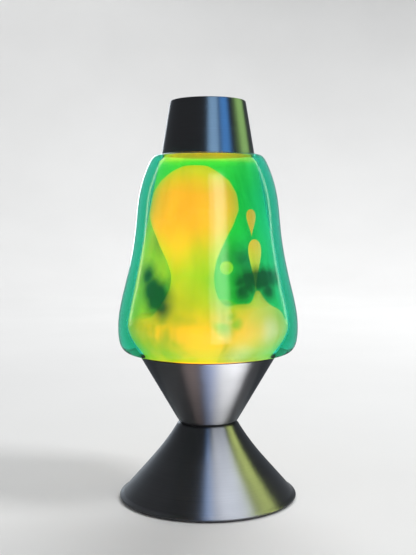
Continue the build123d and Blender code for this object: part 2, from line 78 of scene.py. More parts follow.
def joined(*runs):
    """Several runs of points end to end, without doubled points."""
    out = []
    for run in runs:
        for p in run:
            if not out or math.hypot(p[0] - out[-1][0], p[1] - out[-1][1]) > 0.01:
                out.append((p[0], p[1]))
    return out


def object_from(bm, name, sharp=32.0):
    """A mesh object from a bmesh, smooth but for edges sharper than the angle."""
    bmesh.ops.recalc_face_normals(bm, faces=bm.faces)
    limit = math.radians(sharp)
    for e in bm.edges:
        if len(e.link_faces) == 2 and e.calc_face_angle(0.0) > limit:
            e.smooth = False
    for f in bm.faces:
        f.smooth = True
    mesh = bpy.data.meshes.new(name)
    bm.to_mesh(mesh)
    bm.free()
    ob = bpy.data.objects.new(name, mesh)
    SCENE.collection.objects.link(ob)
    return ob


def lathe(name, profile, segments=192, closed=False, sharp=32.0):
    """A solid of revolution about Z from (r, z) points in millimetres."""
    bm = bmesh.new()
    rings = []
    for r, z in profile:
        if r < 1e-6:
            rings.append([bm.verts.new((0.0, 0.0, z * MM))])
        else:
            rings.append([
                bm.verts.new((r * MM * math.cos(2 * math.pi * k / segments),
                              r * MM * math.sin(2 * math.pi * k / segments), z * MM))
                for k in range(segments)
            ])
    pairs = list(zip(rings, rings[1:]))
    if closed:
        pairs.append((rings[-1], rings[0]))
    for a, b in pairs:
        if len(a) == 1 and len(b) == 1:
            continue
        for k in range(segments):
            j = (k + 1) % segments
            if len(a) == 1:
                bm.faces.new((a[0], b[j], b[k]))
            elif len(b) == 1:
                bm.faces.new((a[k], a[j], b[0]))
            else:
                bm.faces.new((a[k], a[j], b[j], b[k]))
    return object_from(bm, name, sharp)


# ---------------------------------------------------------------- materials
def material(name):
    m = bpy.data.materials.new(name)
    m.use_nodes = True
    t = m.node_tree
    for n in list(t.nodes):
        t.nodes.remove(n)
    out = t.nodes.new("ShaderNodeOutputMaterial")
    out.location = (600, 0)
    return m, t, out


def principled(t, out, **values):
    p = t.nodes.new("ShaderNodeBsdfPrincipled")
    p.location = (250, 0)
    for key, v in values.items():
        s = p.inputs[key.replace("_", " ")]
        if isinstance(v, (tuple, list)) and len(v) == 3:
            v = (*v, 1.0)
        s.default_value = v
    t.links.new(p.outputs["BSDF"], out.inputs["Surface"])
    return p


def coords(t):
    n = t.nodes.new("ShaderNodeTexCoord")
    n.location = (-1200, 0)
    return n.outputs["Object"]


def mapping(t, vector, scale=(1, 1, 1), location=(0, 0, 0)):
    n = t.nodes.new("ShaderNodeMapping")
    n.inputs["Scale"].default_value = scale
    n.inputs["Location"].default_value = location
    t.links.new(vector, n.inputs["Vector"])
    return n.outputs["Vector"]


def noise_tex(t, vector, scale, detail=3.0, rough=0.5, distortion=0.0):
    n = t.nodes.new("ShaderNodeTexNoise")
    n.inputs["Scale"].default_value = scale
    n.inputs["Detail"].default_value = detail
    n.inputs["Roughness"].default_value = rough
    n.inputs["Distortion"].default_value = distortion
    t.links.new(vector, n.inputs["Vector"])
    return n.outputs["Fac"]


def ramp(t, fac, stops, interpolation="LINEAR"):
    n = t.nodes.new("ShaderNodeValToRGB")
    n.color_ramp.interpolation = interpolation
    e = n.color_ramp.elements
    while len(e) > 1:
        e.remove(e[-1])
    e[0].position, e[0].color = stops[0][0], (*stops[0][1], 1.0)
    for pos, col in stops[1:]:
        s = e.new(pos)
        s.color = (*col, 1.0)
    t.links.new(fac, n.inputs["Fac"])
    return n.outputs["Color"]


def math_node(t, op, a, b=None, clamp=False):
    n = t.nodes.new("ShaderNodeMath")
    n.operation = op
    n.use_clamp = clamp
    for i, v in enumerate((a, b)):
        if v is None:
            continue
        if isinstance(v, (int, float)):
            n.inputs[i].default_value = v
        else:
            t.links.new(v, n.inputs[i])
    return n.outputs[0]


def map_range(t, v, a, b, c=0.0, d=1.0):
    n = t.nodes.new("ShaderNodeMapRange")
    n.inputs["From Min"].default_value = a
    n.inputs["From Max"].default_value = b
    n.inputs["To Min"].default_value = c
    n.inputs["To Max"].default_value = d
    t.links.new(v, n.inputs["Value"])
    return n.outputs["Result"]


def axis_of(t, vector, which):
    n = t.nodes.new("ShaderNodeSeparateXYZ")
    t.links.new(vector, n.inputs[0])
    return n.outputs[which]


def bump(t, height, strength, distance=0.0002):
    n = t.nodes.new("ShaderNodeBump")
    n.inputs["Strength"].default_value = strength
    n.inputs["Distance"].default_value = distance
    t.links.new(height, n.inputs["Height"])
    return n.outputs["Normal"]


def mix_color(t, fac, a, b, blend="MIX"):
    n = t.nodes.new("ShaderNodeMix")
    n.data_type = "RGBA"
    n.blend_type = blend
    for sock, v in ((n.inputs[0], fac), (n.inputs[6], a), (n.inputs[7], b)):
        if isinstance(v, (int, float)):
            sock.default_value = v
        elif isinstance(v, (tuple, list)):
            sock.default_value = (*v, 1.0) if len(v) == 3 else v
        else:
            t.links.new(v, sock)
    return n.outputs[2]


def spun_metal(name, base, rough=0.24, grooves=1.0, aniso=0.8):
    """Spun and polished metal with fine turning lines around the axis."""
    m, t, out = material(name)
    p = principled(t, out, Metallic=1.0, Roughness=rough, Anisotropic=aniso)
    p.inputs["Anisotropic Rotation"].default_value = 0.25
    p.inputs["Specular Tint"].default_value = (0.92, 0.96, 1.0, 1.0)
    c = coords(t)
    tangent = t.nodes.new("ShaderNodeTangent")
    tangent.direction_type = "RADIAL"
    tangent.axis = "Z"
    t.links.new(tangent.outputs[0], p.inputs["Tangent"])
    rings = noise_tex(t, mapping(t, c, (6, 6, 2600)), 1.0, 4.0, 0.6)
    patches = noise_tex(t, mapping(t, c, (30, 30, 60)), 1.0, 3.0, 0.6)
    shade = math_node(t, "ADD", math_node(t, "MULTIPLY", rings, 0.55), math_node(t, "MULTIPLY", patches, 0.45))
    lo = tuple(v * 0.86 for v in base)
    hi = tuple(min(v * 1.16, 1.0) for v in base)
    t.links.new(ramp(t, shade, [(0.3, lo), (0.7, hi)]), p.inputs["Base Color"])
    t.links.new(map_range(t, shade, 0.3, 0.7, rough * 0.85, rough * 1.2), p.inputs["Roughness"])
    t.links.new(bump(t, rings, 0.05 * grooves, 0.0002), p.inputs["Normal"])
    return m


def plain(name, base, rough, metallic=0.0, grain=400.0, strength=0.1, spread=0.15, **more):
    """A solid colour with the slight mottling, grain and wear of a real surface."""
    m, t, out = material(name)
    p = principled(t, out, Metallic=metallic, **more)
    c = coords(t)
    fine = noise_tex(t, c, grain, 4.0, 0.6)
    broad = noise_tex(t, c, grain * 0.06, 3.0, 0.55)
    lo = tuple(v * (1 - spread) for v in base)
    hi = tuple(min(v * (1 + spread), 1.0) for v in base)
    t.links.new(ramp(t, broad, [(0.3, lo), (0.7, hi)]), p.inputs["Base Color"])
    t.links.new(map_range(t, fine, 0.3, 0.7, rough * 0.85, min(rough * 1.2, 1.0)), p.inputs["Roughness"])
    t.links.new(bump(t, fine, strength, 0.0002), p.inputs["Normal"])
    return m


def glass_like(name, base=(1, 1, 1), ior=1.45, rough=0.0, absorb=None, density=0.0,
               coat=0.0, coat_rough=0.03):
    m, t, out = material(name)
    p = principled(t, out, Base_Color=base, Roughness=rough, IOR=ior,
                   Transmission_Weight=1.0, Coat_Weight=coat, Coat_Roughness=coat_rough,
                   Coat_IOR=1.5)
    if absorb:
        v = t.nodes.new("ShaderNodeVolumeAbsorption")
        v.inputs["Color"].default_value = (*absorb, 1.0)
        v.inputs["Density"].default_value = density
        t.links.new(v.outputs[0], out.inputs["Volume"])
    return m, t, out, p


def dress(node, mat):
    """A CAD node keeps its shape and gets this material."""
    ob = NODES[node]
    if not ob.material_slots:
        ob.data.materials.append(mat)
    for s in ob.material_slots:
        s.material = mat


# ---------------------------------------------------------------- the camera
CAM_DISTANCE = 0.70
CAM_HEIGHT = 0.220
CAM_DIP = 0.0622               # radians below level
cam_data = bpy.data.cameras.new("camera")
cam = bpy.data.objects.new("camera", cam_data)
SCENE.collection.objects.link(cam)
cam.location = (0.0, -CAM_DISTANCE, CAM_HEIGHT)
cam.rotation_euler = (math.pi / 2 - CAM_DIP, 0.0, 0.0)
cam_data.sensor_fit = "VERTICAL"
cam_data.sensor_height = 24.0
cam_data.sensor_width = 24.0
cam_data.lens = 37.85
cam_data.clip_start = 0.02
cam_data.clip_end = 60.0
SCENE.camera = cam

# ---------------------------------------------------------------- metal shells
SHEET = 0.9
FOOT_LINE = [
    (70.2, 2.0), (64.2, 9.0), (55.9, 18.4), (47.4, 28.0), (39.0, 38.0),
    (31.6, 48.0), (26.6, 55.6), (24.0, 60.0),
]
CUP_BOTTOM, CUP_RIM = (24.0, 62.0), (54.8, 114.6)
CAP_BOTTOM, CAP_TOP = (37.1, 272.6), (29.8, 316.0)


def moved(line, t):
    """The line moved t to its right as it is walked."""
    out = []
    for i, (r, z) in enumerate(line):
        a, b = line[max(i - 1, 0)], line[min(i + 1, len(line) - 1)]
        dr, dz = b[0] - a[0], b[1] - a[1]
        n = math.hypot(dr, dz)
        out.append((r + t * dz / n, z - t * dr / n))
    return out


foot_out = curve_through(FOOT_LINE, 7)
foot_in = moved(foot_out, -SHEET)
hem = arc(69.8, 2.0, 1.3, 48, -225, 22)       # rolled hem, outside to inside
foot_profile = joined(
    hem[::-1][:0],
    [(19.6, 60.0), (23.2, 60.0), (23.8, 59.8)],
    foot_out[::-1][2:-2],
    hem,
    foot_in[3:-2],
    [(22.2, 59.1), (19.6, 59.1)],
)
foot = lathe("foot_metal", foot_profile, 256, closed=True, sharp=40)

cup_slope = (CUP_RIM[0] - CUP_BOTTOM[0]) / (CUP_RIM[1] - CUP_BOTTOM[1])
cup_t = SHEET * math.hypot(1, cup_slope)


def cup_r(z):
    return CUP_BOTTOM[0] + (z - CUP_BOTTOM[1]) * cup_slope


cup_profile = joined(
    [(19.6, 62.0), (23.4, 62.0), (24.0, 62.25)],
    [(cup_r(z), z) for z in (64, 68, 73, 79, 86, 93, 100, 106, 110, 112.6, 113.4)],
    arc(54.05, 114.6, 0.8, -32, 210, 18),
    [(cup_r(z) - cup_t, z) for z in (112.6, 106, 98, 90, 82, 74, 67, 62.9)],
    [(19.6, 62.9)],
)
cup = lathe("cup_metal", cup_profile, 256, closed=True, sharp=40)

cap_slope = (CAP_BOTTOM[0] - CAP_TOP[0]) / (CAP_TOP[1] - CAP_BOTTOM[1])


def cap_r(z):
    return CAP_BOTTOM[0] - (z - CAP_BOTTOM[1]) * cap_slope


cap_profile = joined(
    [(0, 316.0), (10, 316.0), (20, 316.0), (26, 316.0), (28.4, 315.98)],
    arc(28.95, 315.1, 0.9, 88, 10, 8),
    [(cap_r(z), z) for z in (314, 309, 303, 297, 290, 284, 279, 275, 273.3)],
    [(36.95, 272.75), (36.65, 272.62), (36.3, 272.7), (36.2, 273.2)],
    [(cap_r(z) - SHEET, z) for z in (276, 283, 290, 298, 306, 313)],
    [(28.4, 315.1), (20, 315.1), (10, 315.1), (0, 315.1)],
)
cap = lathe("cap_metal", cap_profile, 256, sharp=40)

smoked = spun_metal("smoked_chrome", (0.104, 0.105, 0.109), 0.40, aniso=0.95)
for ob, node, body in ((foot, "foot_shell", "base"), (cup, "cup_shell", "base"), (cap, "cap_shell", "cap")):
    ob.data.materials.append(smoked)
    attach(ob, body)
    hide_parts(node)

# ---------------------------------------------------------------- the bottle
SEAT_LOW = (cup_r(92.0) - cup_t - 0.55, 92.0)
SEAT_HIGH = (cup_r(113.2) - cup_t - 0.55, 113.2)
glass_out = joined(
    [(0, 89.4), (12, 89.4), (22, 89.4), (26, 89.4)],
    curve_through([(26, 89.4), (29.4, 88.4), (33.4, 88.1), (37.0, 89.4), SEAT_LOW], 5),
    [(SEAT_LOW[0] + (SEAT_HIGH[0] - SEAT_LOW[0]) * k / 6, 92.0 + 21.2 * k / 6) for k in range(7)],
    curve_through([SEAT_HIGH, (52.5, 114.5), (53.1, 115.7), (54.8, 116.4), (59.0, 116.8),
                   (63.6, 117.3), (67.6, 119.6), (70.2, 123.8), (71.5, 130.0),
                   (71.8, 138.0), (71.3, 146.0), (70.3, 152.5), (68.3, 162.0), (65.8, 172.0), (63.5, 182.0),
                   (61.4, 192.0), (59.6, 202.0), (58.2, 212.0), (57.2, 222.0), (56.2, 232.0),
                   (54.8, 242.0), (52.3, 252.5), (49.0, 262.0), (46.3, 268.0), (44.7, 270.8),
                   (43.0, 272.6), (41.2, 273.4), (39.4, 273.5), (38.1, 273.1), (37.7, 272.3)], 6),
    [(37.2, 272.2), (36.3, 272.2), (35.7, 272.4)],
    curve_through([(35.3, 273.2), (34.7, 276.8), (32.8, 282.4), (27.6, 287.8), (19.6, 292.0),
                   (14.6, 296.0), (13.3, 299.4), (13.1, 302.0)], 5),
    [(13.3, 303.0), (13.3, 306.8), (13.0, 307.5), (12.4, 308.0), (9.9, 308.0), (9.6, 307.7)],
)
CAVITY = joined(
    [(0, 92.0), (12, 92.0), (24, 92.0), (31.4, 92.0)],
    curve_through([(31.4, 92.0), (33.4, 92.6), (35.0, 94.3), (36.6, 96.3)], 4),
    [(36.6 + (51.3 - 36.6) * k / 5, 96.3 + (114.6 - 96.3) * k / 5) for k in range(6)],
    curve_through([(51.3, 114.6), (55.2, 119.0), (59.3, 124.6), (62.5, 130.6), (64.1, 136.0),
                   (64.2, 141.0), (62.2, 151.2)], 6),
    [(62.2 - 0.1978 * (z - 151.2), z) for z in (160, 170, 180, 190, 200, 210, 220, 230, 240, 250, 260)],
    curve_through([(39.1, 268.0), (37.4, 269.9), (35.0, 272.4), (32.8, 276.6), (30.0, 281.6), (24.8, 285.8),
                   (16.6, 289.8), (11.0, 293.8), (9.6, 298.0)], 5),
)
glass = lathe("bottle_glass_blown", joined(glass_out, [(9.6, 304)], CAVITY[::-1]), 256, sharp=50)
teal, tt, tout, tp = glass_like("teal_glass", ior=1.02, absorb=(0.005, 0.89, 0.785), density=100.0,
                                coat=1.0, coat_rough=0.13)
glass.data.materials.append(teal)
teal_z = axis_of(tt, coords(tt), 2)
tt.links.new(map_range(tt, teal_z, 0.1172, 0.1225), tp.inputs["Coat Weight"])        # no polish under the belly
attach(glass, "bottle")
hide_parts("bottle_glass")


def cavity_r(z):
    """Inside radius of the bottle at a height, in millimetres."""
    for (r0, z0), (r1, z1) in zip(CAVITY, CAVITY[1:]):
        if z0 <= z <= z1 and z1 > z0:
            return r0 + (r1 - r0) * (z - z0) / (z1 - z0)
    return 0.0


# ---------------------------------------------------------------- the liquid
GAP = 0.25
body_line = []
for i, (r, z) in enumerate(CAVITY):
    if z > 283.0:
        break
    body_line.append((max(r - GAP, 0.0), z + (GAP if z < 92.5 else 0.0)))
top_r = cavity_r(283.8) - GAP
liquid_profile = joined(
    body_line, [(top_r, 283.9), (top_r - 0.6, 283.2), (top_r - 2.2, 282.8), (top_r - 6, 282.7), (12, 282.7), (0, 282.7)],
)
liquid = lathe("liquid_body", liquid_profile, 224, sharp=60)
green, gt, gout, gp = glass_like("green_liquid", ior=1.02, absorb=(0.25, 0.92, 0.18), density=40.0)
gc = coords(gt)
gz = axis_of(gt, gc, 2)
clouds = noise_tex(gt, mapping(gt, gc, (30, 30, 9), (0.4, 0.1, 0.7)), 1.0, 3.0, 0.5, 0.5)
height = map_range(gt, gz, 0.110, 0.290)
# The liquid is no lamp: its emission is painted light from the bulb below, brightest over the wax pool and in a bright
# painted band just under the cap.
glow = ramp(gt, height, [
    (0.00, (2.4, 0.95, 0.02)), (0.045, (1.6, 0.75, 0.02)), (0.126, (0.70, 0.45, 0.02)), (0.243, (0.14, 0.28, 0.02)),
    (0.378, (0.03, 0.20, 0.02)), (0.495, (0.03, 0.36, 0.03)), (0.72, (0.04, 0.42, 0.03)),
    (0.866, (0.10, 0.44, 0.03)), (0.882, (2.6, 0.9, 0.05)), (0.90, (5.0, 1.0, 0.06)), (0.917, (1.0, 0.6, 0.05)),
    (0.944, (0.2, 0.5, 0.04)),
])
gx = axis_of(gt, gc, 0)
across = ramp(gt, map_range(gt, gx, -0.060, 0.060), [          # painted glow tint: lime on the left, towards teal on the right
    (0.04, (3.8, 0.10, 0.0)), (0.20, (2.2, 0.06, 0.0)), (0.36, (0.80, 0.04, 0.0)), (0.50, (0.08, 0.01, 0.0)), (0.60, (0.0, 0.0, 0.0)),
    (0.70, (0.0, 0.0, 0.10)), (0.84, (0.0, 0.02, 0.30)), (1.0, (0.0, 0.03, 0.36)),
])
across = mix_color(gt, math_node(gt, "MULTIPLY", map_range(gt, axis_of(gt, gc, 2), 0.242, 0.258), 0.85), across, (0.0, 0.0, 0.0))
cloud_tint = ramp(gt, clouds, [(0.30, (0.35, 0.55, 0.40)), (0.55, (1.0, 1.0, 1.0)), (0.75, (1.9, 1.25, 0.8))])
lit_glow = mix_color(gt, 1.0, mix_color(gt, 1.0, glow, across, "ADD"), cloud_tint, "MULTIPLY")
gp.inputs["Emission Strength"].default_value = 0.30


def spot(t, vector, at, radius, soft=0.6):
    """1 within a ball round a place in millimetres, fading to 0 at its radius."""
    n = t.nodes.new("ShaderNodeVectorMath")
    n.operation = "DISTANCE"
    t.links.new(vector, n.inputs[0])
    n.inputs[1].default_value = tuple(v * MM for v in at)
    r = t.nodes.new("ShaderNodeMapRange")
    r.interpolation_type = "SMOOTHSTEP"
    r.inputs["From Min"].default_value = radius * MM
    r.inputs["From Max"].default_value = radius * MM * (1 - soft)
    t.links.new(n.outputs["Value"], r.inputs["Value"])
    return r.outputs["Result"]


def most(t, values):
    out = values[0]
    for v in values[1:]:
        out = math_node(t, "MAXIMUM", out, v)
    return out


shifted = gt.nodes.new("ShaderNodeVectorMath")       # uneven edges for the painted shade spots
shifted.operation = "MULTIPLY_ADD"
warp = gt.nodes.new("ShaderNodeTexNoise")
warp.inputs["Scale"].default_value = 26.0
warp.inputs["Detail"].default_value = 2.0
gt.links.new(gc, warp.inputs["Vector"])
gt.links.new(warp.outputs["Color"], shifted.inputs[0])
shifted.inputs[1].default_value = (0.008, 0.008, 0.008)
gt.links.new(gc, shifted.inputs[2])
sv = shifted.outputs[0]
OFF = 4.0
# Painted shade in the liquid: dark green spots round the wax neck, between the head and the pool, and a few on the far
# side.
painted_shade_spots = most(gt, [spot(gt, sv, (x + OFF, y + OFF, z + OFF), r, soft) for x, y, z, r, soft in (
    (-47, -33, 179, 17, 0.85), (-44, -40, 170, 19, 0.75), (-39, -45, 165, 20, 0.70),     # painted shade, a slanting patch, left
    (-35, -49, 158, 15, 0.85),
    (27, -53, 168.5, 14, 0.85), (32, -50, 172, 13, 0.8), (46, -37, 169, 14, 0.85),      # painted shade, two patches, right
    (26, -53, 176, 13, 0.85), (32, -50, 177.5, 14, 0.7), (38, -45, 178, 14.5, 0.6),   # and a painted shade band over them
    (44, -39, 178.5, 14.5, 0.6), (49, -32, 178.5, 14, 0.7), (53, -24, 179, 13, 0.85),
    (30, 50, 190, 28, 1.0), (-40, 42, 210, 26, 1.0), (-20, 56, 172, 20, 1.0))])
cloud_col = ramp(gt, clouds, [(0.30, (0.55, 0.80, 0.50)), (0.50, (0.92, 1.0, 0.85)), (1.0, (1.0, 1.0, 0.9))])
side_col = ramp(gt, map_range(gt, gx, -0.060, 0.060), [
    (0.10, (1.0, 0.94, 0.30)), (0.40, (1.0, 1.0, 0.70)), (0.60, (1.0, 1.0, 1.0)), (0.82, (0.50, 0.84, 1.0)), (1.0, (0.40, 0.80, 1.0)),
])
clear_col = mix_color(gt, 1.0, cloud_col, side_col, "MULTIPLY")
# Painted shade: the spots turn both the base colour and the glow deep green.
gt.links.new(mix_color(gt, painted_shade_spots, clear_col, (0.002, 0.026, 0.028)), gp.inputs["Base Color"])
gt.links.new(mix_color(gt, painted_shade_spots, lit_glow, (0.001, 0.02, 0.028)), gp.inputs["Emission Color"])
liquid.data.materials.append(green)
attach(liquid, "bottle")
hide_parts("liquid")

# ---------------------------------------------------------------- the wax
RISING = [  # height, sideways, front-back, radius
    (128.0, -4.0, -8.0, 47.0), (138.0, -6.0, -15.0, 43.0), (146.0, -8.0, -21.0, 36.0), (153.0, -10.5, -24.0, 28.0),
    (160.0, -12.4, -23.0, 21.5), (168.8, -11.8, -20.0, 17.6),
    (178.5, -11.6, -16.5, 16.6), (190.5, -12.2, -13.0, 19.2), (203.0, -12.6, -11.0, 24.4),
    (217.5, -11.8, -9.5, 31.0), (230.5, -11.4, -8.5, 34.6), (242.5, -10.2, -8.0, 32.2), (252.5, -9.6, -7.0, 26.2),
    (260.0, -10.0, -6.0, 17.0), (264.7, -9.6, -6.0, 8.0),
]
PEAK = [(136.0, 40.0, -33.0, 19.0), (147.0, 40.0, -34.0, 15.0), (155.0, 39.5, -34.5, 10.5), (160.0, 39.0, -34.0, 5.5),
        (164.5, 38.5, -32.0, 3.4), (169.0, 38.2, -30.5, 2.2)]
SWELL = [(128.0, 34.0, -30.0, 29.0), (142.0, 34.0, -31.0, 28.0), (150.0, 33.5, -32.0, 25.0), (155.0, 33.0, -32.5, 18.5),
         (157.5, 33.0, -33.0, 10.0)]
BACK = [(128.0, 6.0, 30.0, 30.0), (142.0, 6.0, 30.0, 28.0), (151.0, 6.0, 29.0, 21.0), (156.0, 6.0, 28.0, 11.0)]
SEG = 64


def loft(name, rows):
    """A closed column through round sections: height, sideways, front-back, radius."""
    bm = bmesh.new()
    rings = []
    for z, x, y, r in rows:
        rings.append([bm.verts.new(((x + r * math.cos(2 * math.pi * k / SEG)) * MM,
                                    (y + r * math.sin(2 * math.pi * k / SEG)) * MM, z * MM)) for k in range(SEG)])
    for a, b in zip(rings, rings[1:]):
        for k in range(SEG):
            j = (k + 1) % SEG
            bm.faces.new((a[k], a[j], b[j], b[k]))
    bm.faces.new(rings[0][::-1])
    bm.faces.new(rings[-1])
    return object_from(bm, name)


column = loft("wax_column", RISING)
others = [loft("wax_peak", PEAK), loft("wax_swell", SWELL), loft("wax_back", BACK)]

pool_line = [(0, 92.6), (20, 92.6), (31.0, 92.6)]
pool_line += [(cavity_r(z) - 0.9, z) for z in (94.5, 97, 102, 108, 114, 118, 122, 126, 130, 134, 137, 140)]
pool_line += [(61.5, 143.0), (57.0, 145.4), (50.0, 146.2), (40.0, 145.4), (26.0, 144.6), (12.0, 145.6), (0, 146.0)]
pool = lathe("wax_pool", pool_line, 160, sharp=60)


def union_remesh(objects, name, voxel, smooth_steps):
    """One closed mesh round all the objects, evenly divided and smoothed."""
    bm2 = bmesh.new()
    for o in objects:
        bm2.from_mesh(o.data)
    mesh = bpy.data.meshes.new(name)
    bm2.to_mesh(mesh)
    bm2.free()
    for o in objects:
        data = o.data
        bpy.data.objects.remove(o)
        bpy.data.meshes.remove(data)
    ob = bpy.data.objects.new(name, mesh)
    SCENE.collection.objects.link(ob)
    r = ob.modifiers.new("remesh", "REMESH")
    r.mode = "VOXEL"
    r.voxel_size = voxel
    s = ob.modifiers.new("smooth", "SMOOTH")
    s.factor = 0.5
    s.iterations = smooth_steps
    bpy.context.view_layer.update()
    dg = bpy.context.evaluated_depsgraph_get()
    done = bpy.data.meshes.new_from_object(ob.evaluated_get(dg))
    ob.modifiers.clear()
    old = ob.data
    ob.data = done
    bpy.data.meshes.remove(old)
    done.name = name
    for f in done.polygons:
        f.use_smooth = True
    return ob


wax = union_remesh([pool, column] + others, "wax_flow", 0.0016, 12)
wm = wax.data
for v in wm.vertices:
    p = v.co
    n1 = noise.noise(Vector((p.x * 24, p.y * 24, p.z * 18)) + Vector((3.1, 7.7, 1.3)))
    n2 = noise.noise(Vector((p.x * 60, p.y * 60, p.z * 46)) + Vector((9.1, 2.7, 5.3)))
    amount = 0.0022 * n1 + 0.0007 * n2
    if p.z < 0.135:
        amount *= max(0.0, (p.z - 0.120) / 0.015)
    centre = Vector((-0.012, 0.0, p.z)) if p.z > 0.150 else Vector((0.0, 0.0, p.z - 0.02))
    d = (p - centre)
    if d.length > 1e-6:
        v.co = p + d.normalized() * amount
for v in wm.vertices:        # nothing passes through the glass
    limit = (cavity_r(v.co.z / MM) - 0.75) * MM
    r = math.hypot(v.co.x, v.co.y)
    if r > limit > 0:
        v.co.x *= limit / r
        v.co.y *= limit / r
    v.co.z = max(v.co.z, 0.0925)

# The wax is no lamp: its emission is painted light from the bulb below, varied with height, and its base colour is a
# dimmer copy of that painted glow.
wax_m, wt, wout = material("glowing_wax")
wp = principled(wt, wout, Roughness=0.4, Coat_Weight=0.2, Coat_Roughness=0.15)
wc = coords(wt)
wz = axis_of(wt, wc, 2)
wx = axis_of(wt, wc, 0)
wh = map_range(wt, wz, 0.092, 0.262)
mottle = noise_tex(wt, mapping(wt, wc, (34, 34, 26)), 1.0, 3.0, 0.5, 0.4)
uneven = math_node(wt, "SUBTRACT", mottle, 0.5)
wtone = math_node(wt, "ADD", wh, math_node(wt, "MULTIPLY", uneven, 0.16))
wax_high = ramp(wt, wtone, [
    (0.00, (0.80, 0.24, 0.035)), (0.13, (0.76, 0.185, 0.012)), (0.26, (0.76, 0.175, 0.004)),
    (0.38, (0.66, 0.20, 0.001)), (0.50, (0.52, 0.22, 0.001)), (0.63, (0.84, 0.20, 0.001)), (0.74, (1.00, 0.150, 0.002)),
    (0.88, (1.00, 0.130, 0.002)), (1.00, (0.86, 0.19, 0.002)),
])
# The painted glow turns a dim lime on the lower left of the wax.
side = math_node(wt, "ADD", wx, math_node(wt, "MULTIPLY", uneven, 0.09))
lime_x = wt.nodes.new("ShaderNodeMapRange")
lime_x.interpolation_type = "SMOOTHSTEP"
lime_x.inputs["From Min"].default_value = -0.008
lime_x.inputs["From Max"].default_value = -0.050
wt.links.new(side, lime_x.inputs["Value"])
lime = math_node(wt, "MULTIPLY", lime_x.outputs["Result"], map_range(wt, wz, 0.172, 0.140))
toned = mix_color(wt, lime, wax_high, (0.10, 0.135, 0.001))
specks = most(wt, [spot(wt, wc, (14.5, -53, 152), 9, 0.8), spot(wt, wc, (11.0, -59, 143), 13, 0.9),
                   spot(wt, wc, (20.0, -57, 146), 8, 0.9), spot(wt, wc, (-30, 55, 140), 9, 0.7)])
toned = mix_color(wt, math_node(wt, "MULTIPLY", specks, 0.75), toned, (0.07, 0.17, 0.004))
# Painted highlights: two pale hot spots low on the front of the wax pool.
painted_highlight_spots = most(wt, [spot(wt, wc, (24, -54, 119), 17, 0.9), spot(wt, wc, (47, -42, 139), 15, 0.9)])
wax_glow = mix_color(wt, math_node(wt, "MULTIPLY", painted_highlight_spots, 0.7), toned, (0.80, 0.22, 0.10))
wt.links.new(wax_glow, wp.inputs["Emission Color"])
wt.links.new(mix_color(wt, 1.0, wax_glow, (0.30, 0.5, 0.5), "MULTIPLY"), wp.inputs["Base Color"])
wp.inputs["Emission Strength"].default_value = 3.5
wt.links.new(bump(wt, mottle, 0.15, 0.0006), wp.inputs["Normal"])
wm.materials.clear()
wm.materials.append(wax_m)
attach(wax, "bottle")
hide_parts("wax_mass")


def drop_mesh(bm3, x, y, low, high, r, tail=1.3, lean=0.0):
    """A drop of wax: round on top and drawn out below, the more so the larger the tail."""
    n, seg = 26, 32
    rows = []
    h = high - low
    top = tail / (tail + 0.5)
    scale = r / (top ** tail * (1 - top) ** 0.5)
    for i in range(n + 1):
        u = 1 - (1 - i / n) ** 1.7
        z = low + h * u
        w = scale * u ** tail * (1 - u) ** 0.5 if 0 < u < 1 else 0.0
        cx = x + lean * (1 - u)
        if w < 0.02:
            rows.append([bm3.verts.new((cx * MM, y * MM, z * MM))])
        else:
            rows.append([bm3.verts.new(((cx + w * math.cos(2 * math.pi * k / seg)) * MM,
                                        (y + w * math.sin(2 * math.pi * k / seg)) * MM, z * MM))
                         for k in range(seg)])
    while len(rows[1]) == 1:
        bm3.verts.remove(rows.pop(1)[0])
    for a, b in zip(rows, rows[1:]):
        for k in range(seg):
            j = (k + 1) % seg
            if len(a) == 1:
                bm3.faces.new((a[0], b[j], b[k]))
            elif len(b) == 1:
                bm3.faces.new((a[k], a[j], b[0]))
            else:
                bm3.faces.new((a[k], a[j], b[j], b[k]))


bm = bmesh.new()
drop_mesh(bm, 32.5, -26.0, 209.5, 230.5, 3.5, 1.5, 0.8)
drop_mesh(bm, 35.2, -31.0, 165.5, 207.5, 4.9, 2.0, 1.2)
drop_mesh(bm, 14.5, -4.0, 178.5, 189.5, 5.2, 0.55)
drops = object_from(bm, "wax_beads", sharp=80)
drops.data.materials.append(wax_m)
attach(drops, "bottle")
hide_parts("wax_drops")

# ---------------------------------------------------------------- other CAD parts
dress("waist_ring", plain("black_plastic", (0.015, 0.015, 0.017), 0.42, strength=0.15))
dress("cord_grommet", bpy.data.materials["black_plastic"])
steel = plain("bracket_steel", (0.42, 0.42, 0.43), 0.34, 1.0, grain=700, strength=0.12)
for n in ("waist_eyelet", "plate_lugs", "holder_bracket", "holder_nipple", "wire_coil", "base_plate"):
    dress(n, steel)
zinc = plain("zinc_plate", (0.62, 0.62, 0.58), 0.28, 1.0, grain=900, strength=0.1)
for n in ("plate_screws", "bracket_rivets", "holder_nut"):
    dress(n, zinc)
dress("rubber_feet", plain("black_rubber", (0.02, 0.02, 0.02), 0.75, grain=1200, strength=0.3))
dress("lampholder_body", plain("phenolic", (0.035, 0.026, 0.02), 0.35, grain=500, strength=0.12))
brass = plain("brass_sheet", (0.72, 0.50, 0.20), 0.3, 1.0, grain=800, strength=0.12)
for n in ("lampholder_shell", "holder_contact", "terminal_screws"):
    dress(n, brass)
nickel = plain("nickel_plate", (0.60, 0.58, 0.54), 0.24, 1.0, grain=900, strength=0.12)
for n in ("bulb_base", "bulb_supports"):
    dress(n, nickel)
dress("bulb_insulator", plain("vitrite", (0.012, 0.012, 0.014), 0.12, grain=600, strength=0.05))
dress("bulb_contact", plain("solder", (0.55, 0.55, 0.55), 0.4, 1.0, grain=900, strength=0.25))
